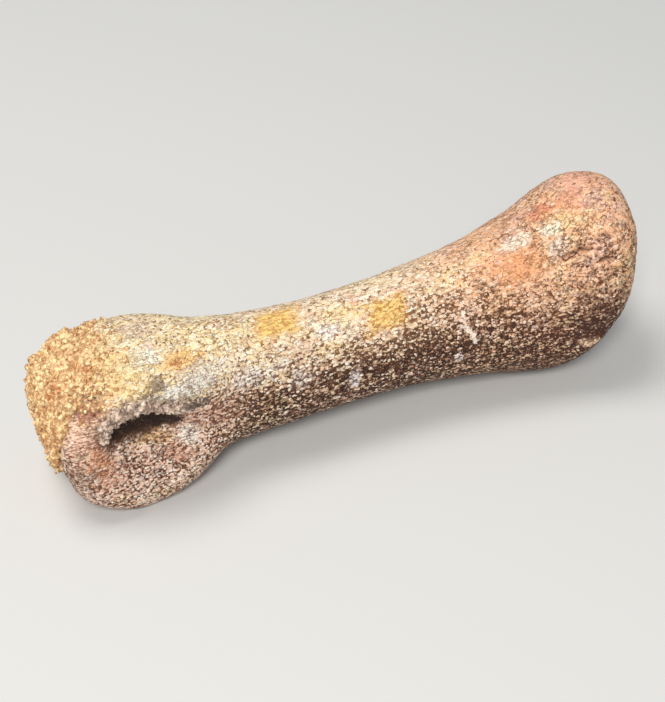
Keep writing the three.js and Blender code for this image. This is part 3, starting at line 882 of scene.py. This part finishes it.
def boneMaterial():
    material, tree, shader, place = paintTree("wornFossilBone")
    along = axisOf(tree, place, "X")
    up = axisOf(tree, place, "Z")
    ragged = raggedOf(tree, place)
    edge, own = flakeCells(tree, place, coverOf(tree, place))
    flake = ramp(tree, edge, -0.05, 0.05)
    toNear = span(tree, along, "toNear")
    low = span(tree, calc(tree, "SUBTRACT", up, calc(tree, "MULTIPLY", toNear, 2.0)), "lowFlank", 1.0, 0.0)
    cheek = calc(tree, "MULTIPLY", span(tree, along, "cheek", 1.0, 0.0), span(tree, up, "cheekTop", 1.0, 0.0))
    fine = noise(tree, place, *noises["fine"])
    light, dark = flakeColours(tree, place, low, cheek, toNear)
    light, dark = mottled(tree, place, light, dark, own, fine, toNear)

    jitter = calc(tree, "MULTIPLY", calc(tree, "SUBTRACT", axisOf(tree, own, "X"), 0.5), 0.8)
    jitter = addTimes(tree, jitter, calc(tree, "SUBTRACT", fine, 0.5), 1.2)
    jitter = calc(tree, "ADD", jitter, ragged)
    for centre, radii, colour, on, under, softness in stains.values():
        mask = insideOf(tree, place, centre, radii, softness, jitter)
        light = tinted(tree, light, mask, on, tone(*colour))
        dark = tinted(tree, dark, mask, under * 0.7, tone(*colour))
    ochre, ochreMask = ochreOf(tree, place, jitter)
    light = tinted(tree, light, ochreMask, 0.84, ochre)
    dark = tinted(tree, dark, ochreMask, 0.7, boneColours["ochreDark"])

    # on the lower flank some flakes let the base show through
    thinnest = calc(tree, "MULTIPLY", calc(tree, "SUBTRACT", low, cheek, True), 0.62)
    strength = ramp(tree, axisOf(tree, own, "Y"), 0.0, 0.7, calc(tree, "SUBTRACT", 1.0, thinnest), 1.0)
    colour = mixColours(tree, calc(tree, "MULTIPLY", flake, strength), dark, light)

    # fine dark striae across the rim of the far joint
    centre, radii = stains["pinkRim"][:2]
    onRim = insideOf(tree, place, centre, radii, 0.3, calc(tree, "MULTIPLY", ragged, 0.3))
    striae = ramp(tree, noise(tree, place, *noises["striae"]), 0.5, 0.42)
    colour = painted(tree, colour, calc(tree, "MULTIPLY", onRim, striae), "striae")

    # thin cracks that wind over the light flakes
    crackNoise = swing(tree, place, *noises["cracks"])
    crackLine = ramp(tree, calc(tree, "ABSOLUTE", crackNoise), 0.012, 0.04, 1.0, 0.0)
    crackPlaces = ramp(tree, noise(tree, place, *noises["crackPlaces"]), 0.36, 0.56)
    # the cracks are darker on the lower flank too, partly as painted shade
    crackColour = mixColours(tree, low, boneColours["crackTop"], boneColours["crackLow"])
    crackShare = calc(tree, "SUBTRACT", 0.7, calc(tree, "MULTIPLY", ochreMask, 0.5))
    colour = tinted(tree, colour, calc(tree, "MULTIPLY", crackLine, crackPlaces), crackShare, crackColour)

    # short dark squiggles between the knobs of the near joint, and painted shade in the sunk bubbles there
    squiggle = calc(tree, "ABSOLUTE", swing(tree, place, *noises["squiggles"]))
    nearPlaces = ramp(tree, noise(tree, place, *noises["squigglePlaces"]), 0.42, 0.58)
    squiggle = calc(tree, "MULTIPLY", ramp(tree, squiggle, 0.02, 0.065, 1.0, 0.0), nearPlaces)
    nearEnd = calc(tree, "MULTIPLY", span(tree, along, "nearEnd"), span(tree, up, "nearEndTop"))
    squiggle = calc(tree, "MULTIPLY", squiggle, nearEnd)
    colour = painted(tree, colour, squiggle, "squiggle")
    bubbles, spongy = spongyCells(tree, place, ragged)
    colour = tinted(tree, colour, ramp(tree, bubbles, 0.08, 0.3, 0.62, 0.0), spongy, boneColours["bubble"])
    colour = browGrit(tree, place, colour, ragged, jitter)

    # the sand of the joint's matrix thins out over the bone
    reach = calc(tree, "MULTIPLY", jitter, 0.7)
    sand = insideOf(tree, place, sandZone["centre"], sandZone["radii"], 0.4, reach)
    colour = tinted(tree, colour, sand, 0.9, sandColour(tree, place, crusts["jointMatrix"])[0])
    colour = linesAndHoles(tree, place, colour, ragged, jitter)
    tree.links.new(colour, shader.inputs["Base Color"])

    # relief too fine for the mesh
    plate = ramp(tree, edge, -0.15, 0.25)
    height = calc(tree, "ADD", calc(tree, "MULTIPLY", plate, 0.7), fine)
    height = addTimes(tree, height, crackLine, -0.5)
    height = addTimes(tree, height, squiggle, -1.6)
    addBump(tree, shader, height, boneFinish["bumpDepth"])
    shader.inputs["Roughness"].default_value = boneFinish["roughness"]
    shader.inputs["Specular IOR Level"].default_value = boneFinish["specular"]
    return material


# matrix: crusts of cemented sand, each a lumpy granular base with single grains set on it

sandForm = {
    "clumpSize": 0.9,
    "clumpHeight": 0.6,
    "wobbleSize": 0.5,
    "chipSize": 0.3,
    "chipHeight": 0.7,
    "smallest": 0.35,  # the grains' sizes, as shares of the grain radius
    "largest": 1.5,
    "density": 2.5,  # grains tried for each square of the gap between them
    "facing": 0.1,  # how squarely the surface under a loose grain faces outwards, at least
    "bumpDepth": 0.085,
    "specular": 0.4,
}
crusts = {
    "jointMatrix": {
        "node": "joint_matrix",
        "slot": "matrix",
        "lift": 0.0,
        "voxel": 0.17,
        "softening": 18,
        "swollen": {"border": 0.42, "inside": -0.12},
        "lumpSize": 2.2,
        "lumpHeight": 0.55,
        "grainSize": 0.5,
        "grainHeight": 0.24,
        "middle": (-29.0, 1.0, 8.8),  # loose grains sit on what faces away from here
        "grainGap": 0.7,
        "grainRadius": 0.26,
        "grainsOnBone": {"reach": 4.6, "gap": 0.38},  # mm that loose grains stray over the bone, and apart
        "seed": 4,
        "tones": {
            "light": tone(252, 228, 176),
            "mid": tone(218, 168, 110),
            "dark": tone(166, 100, 56),
            # painted shade in the crevices between grains and in the low places of the clumps
            "creviceShade": tone(160, 104, 58),
            "stain": tone(196, 116, 62),
        },
        "roughness": 0.6,
        "paler": 0.32,  # how much paler it is towards the top
    },
    "pitMatrix": {
        "node": "pit_matrix",
        "slot": "pit_matrix",
        "lift": 0.45,  # mm
        "voxel": 0.15,
        "softening": 6,
        "swollen": {"border": -0.12, "inside": -0.34},
        "lumpSize": 0.9,
        "lumpHeight": 0.3,
        "grainSize": 0.5,
        "grainHeight": 0.34,
        "middle": (-28.0, -3.0, 12.0),
        "grainGap": 0.5,
        "grainRadius": 0.22,
        "grainsOnBone": {"reach": 1.2, "gap": 0.46},
        "seed": 9,
        "tones": {
            "light": tone(240, 218, 198),
            "mid": tone(186, 158, 138),
            "dark": tone(104, 82, 70),
            # painted shade in the crevices between grains and in the low places of the clumps
            "creviceShade": tone(112, 88, 74),
            "stain": tone(82, 62, 54),
        },
        "roughness": 0.6,
        "paler": 0.0,
    },
}


def outwardOnly(tree, crust):
    away = vectorCalc(tree, "SUBTRACT", placeInMillimetres(tree), crust["middle"])
    normal = tree.nodes.new("GeometryNodeInputNormal")
    facing = vectorCalc(tree, "DOT_PRODUCT", vectorCalc(tree, "NORMALIZE", away), normal.outputs[0])
    return calc(tree, "GREATER_THAN", facing, sandForm["facing"])


def scattered(tree, surface, gap, share, seed):
    points = tree.nodes.new("GeometryNodeDistributePointsOnFaces")
    points.distribute_method = "POISSON"
    tree.links.new(surface, points.inputs["Mesh"])
    points.inputs["Distance Min"].default_value = gap * mm
    points.inputs["Density Max"].default_value = sandForm["density"] / (gap * mm) ** 2
    tree.links.new(share, points.inputs["Density Factor"])
    points.inputs["Seed"].default_value = seed
    return points.outputs["Points"]


def grainsOn(tree, points, crust):
    ball = tree.nodes.new("GeometryNodeMeshUVSphere")
    ball.inputs["Radius"].default_value = crust["grainRadius"] * mm
    ball.inputs["Segments"].default_value = 8
    ball.inputs["Rings"].default_value = 6
    copies = tree.nodes.new("GeometryNodeInstanceOnPoints")
    tree.links.new(points, copies.inputs["Points"])
    tree.links.new(ball.outputs["Mesh"], copies.inputs["Instance"])
    turn = randomVector(tree, 0, 6.28, crust["seed"] + 1)
    size = randomVector(tree, sandForm["smallest"], sandForm["largest"], crust["seed"] + 2)
    tree.links.new(turn, copies.inputs["Rotation"])
    tree.links.new(size, copies.inputs["Scale"])
    whole = tree.nodes.new("GeometryNodeRealizeInstances")
    tree.links.new(copies.outputs[0], whole.inputs[0])
    chips = swing(tree, placeInMillimetres(tree), sandForm["chipSize"], 1.0, 0.5, shift=6.0)
    return raised(tree, whole.outputs[0], calc(tree, "MULTIPLY", chips, sandForm["chipHeight"]))


def randomVector(tree, low, high, seed):
    node = tree.nodes.new("FunctionNodeRandomValue")
    node.data_type = "FLOAT_VECTOR"
    node.inputs["Min"].default_value = (low,) * 3
    node.inputs["Max"].default_value = (high,) * 3
    node.inputs["Seed"].default_value = seed
    return node.outputs[0]


def distanceTo(tree, surface):
    near = tree.nodes.new("GeometryNodeProximity")
    near.target_element = "FACES"
    tree.links.new(surface, near.inputs[0])
    return calc(tree, "DIVIDE", near.outputs["Distance"], mm)


def overBone(tree, name, base, reach):
    # where loose grains lie on the bone: round the top of the joint's matrix, and along the brow of the pit
    place = placeInMillimetres(tree)
    if name == "jointMatrix":
        near = ramp(tree, distanceTo(tree, base), 0.2, reach, 1.0, 0.0)
        return calc(tree, "MULTIPLY", near, span(tree, axisOf(tree, place, "Z"), "sandUp"))
    near = ramp(tree, distanceToLine(tree, place, brow), reach * 0.6, reach, 1.0, 0.0)
    return calc(tree, "MULTIPLY", near, span(tree, axisOf(tree, place, "X"), "browSand", 1.0, 0.0))


def crustRelief(tree, place, crust, boneSurface):
    # how far the crust stands out from the softened form, in millimetres
    lump = swing(tree, place, crust["lumpSize"], 2.0, 0.5, shift=2.0)
    border, inside = crust["swollen"]["border"], crust["swollen"]["inside"]
    swelling = ramp(tree, distanceTo(tree, boneSurface), 0.3, 1.3, border, inside)
    height = calc(tree, "ADD", calc(tree, "MULTIPLY", lump, 2 * crust["lumpHeight"]), swelling)
    clump = swing(tree, place, sandForm["clumpSize"], 2.0, 0.6, shift=15.0)
    height = addTimes(tree, height, clump, sandForm["clumpHeight"])
    wobble = wobbleOf(tree, place, sandForm["wobbleSize"], 0.6)
    distance = cells(tree, place, crust["grainSize"], wobble=wobble)[0]
    grain = calc(tree, "MULTIPLY", calc(tree, "SUBTRACT", 0.6, distance), crust["grainHeight"] * 1.6)
    return calc(tree, "ADD", height, grain)


def makeCrust(name, crust, bone):
    piece = fineCopy(crust["node"], name, crust["voxel"])
    tree, geometry, out = geometryTree(name + "Sand")
    info = tree.nodes.new("GeometryNodeObjectInfo")
    info.inputs["Object"].default_value = bone
    boneSurface = info.outputs["Geometry"]
    relief = crustRelief(tree, placeInMillimetres(tree), crust, boneSurface)
    lifted = tree.nodes.new("GeometryNodeTransform")
    lifted.inputs["Translation"].default_value = (0, 0, crust["lift"] * mm)
    soft = blurred(tree, geometry, crust["softening"])
    tree.links.new(raised(tree, soft, relief), lifted.inputs["Geometry"])
    base = lifted.outputs[0]
    loose = scattered(tree, base, crust["grainGap"], outwardOnly(tree, crust), crust["seed"])
    share = overBone(tree, name, base, crust["grainsOnBone"]["reach"])
    strayed = scattered(tree, boneSurface, crust["grainsOnBone"]["gap"], share, crust["seed"] + 5)
    joined = tree.nodes.new("GeometryNodeJoinGeometry")
    tree.links.new(base, joined.inputs[0])
    for spots in (loose, strayed):
        tree.links.new(grainsOn(tree, spots, crust), joined.inputs[0])
    tree.links.new(joined.outputs[0], out)
    useTree(piece, tree)
    finished(piece, sandMaterial(name + "Sand", crust))
    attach(piece, "root")
    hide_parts(crust["node"])
    print(name, "made:", len(piece.data.polygons), "faces")


def sandColour(tree, place, crust):
    tones = crust["tones"]
    wobble = wobbleOf(tree, place, sandForm["wobbleSize"], 0.5)
    distance, own = cells(tree, place, crust["grainSize"], wobble=wobble)
    kind = axisOf(tree, own, "X")
    colour = mixColours(tree, ramp(tree, kind, 0.35, 0.95), tones["mid"], tones["light"])
    upper = axisOf(tree, place, "Z")
    stain = noise(tree, place, 2.6, 3.0, 0.6, shift=4.0)
    clump = noise(tree, place, sandForm["clumpSize"], 2.0, 0.6, shift=15.0)
    cloud = noise(tree, place, 0.25, 3.0, 0.65, shift=9.0)
    # each layer: what it follows, where it starts and is full, how strong it is, and its tone
    layers = [
        (kind, 0.34, 0.05, 0.7, "dark"),
        (upper, 10.5, 16, crust["paler"], "light"),
        (stain, 0.5, 0.68, 0.8, "stain"),
        # the two clump layers follow the noise of the crust's clumpy relief: raised clumps are painted
        # lighter and low ones darker, as painted light and shade
        (clump, 0.5, 0.68, 0.55, "light"),
        (clump, 0.5, 0.34, 0.65, "creviceShade"),
        # painted shade in the crevices between the grains
        (distance, 0.42, 0.75, 0.72, "creviceShade"),
        (cloud, 0.5, 0.72, 0.7, "light"),
        (cloud, 0.46, 0.3, 0.5, "dark"),
    ]
    for value, start, full, strength, name in layers:
        colour = mixColours(tree, ramp(tree, value, start, full, 0.0, strength), colour, tones[name])
    return colour, distance, cloud


def sandMaterial(name, crust):
    material, tree, shader, place = paintTree(name)
    colour, distance, cloud = sandColour(tree, place, crust)
    tree.links.new(colour, shader.inputs["Base Color"])
    height = calc(tree, "SUBTRACT", calc(tree, "MULTIPLY", cloud, 0.8), calc(tree, "MULTIPLY", distance, 1.2))
    addBump(tree, shader, height, sandForm["bumpDepth"])
    shader.inputs["Roughness"].default_value = crust["roughness"]
    shader.inputs["Specular IOR Level"].default_value = sandForm["specular"]
    return material


makeCamera()
makeStudio()
print("camera and studio made")
bone = makeBone()
print("bone made:", len(bone.data.polygons), "faces")
for name, crust in crusts.items():
    makeCrust(name, crust, bone)
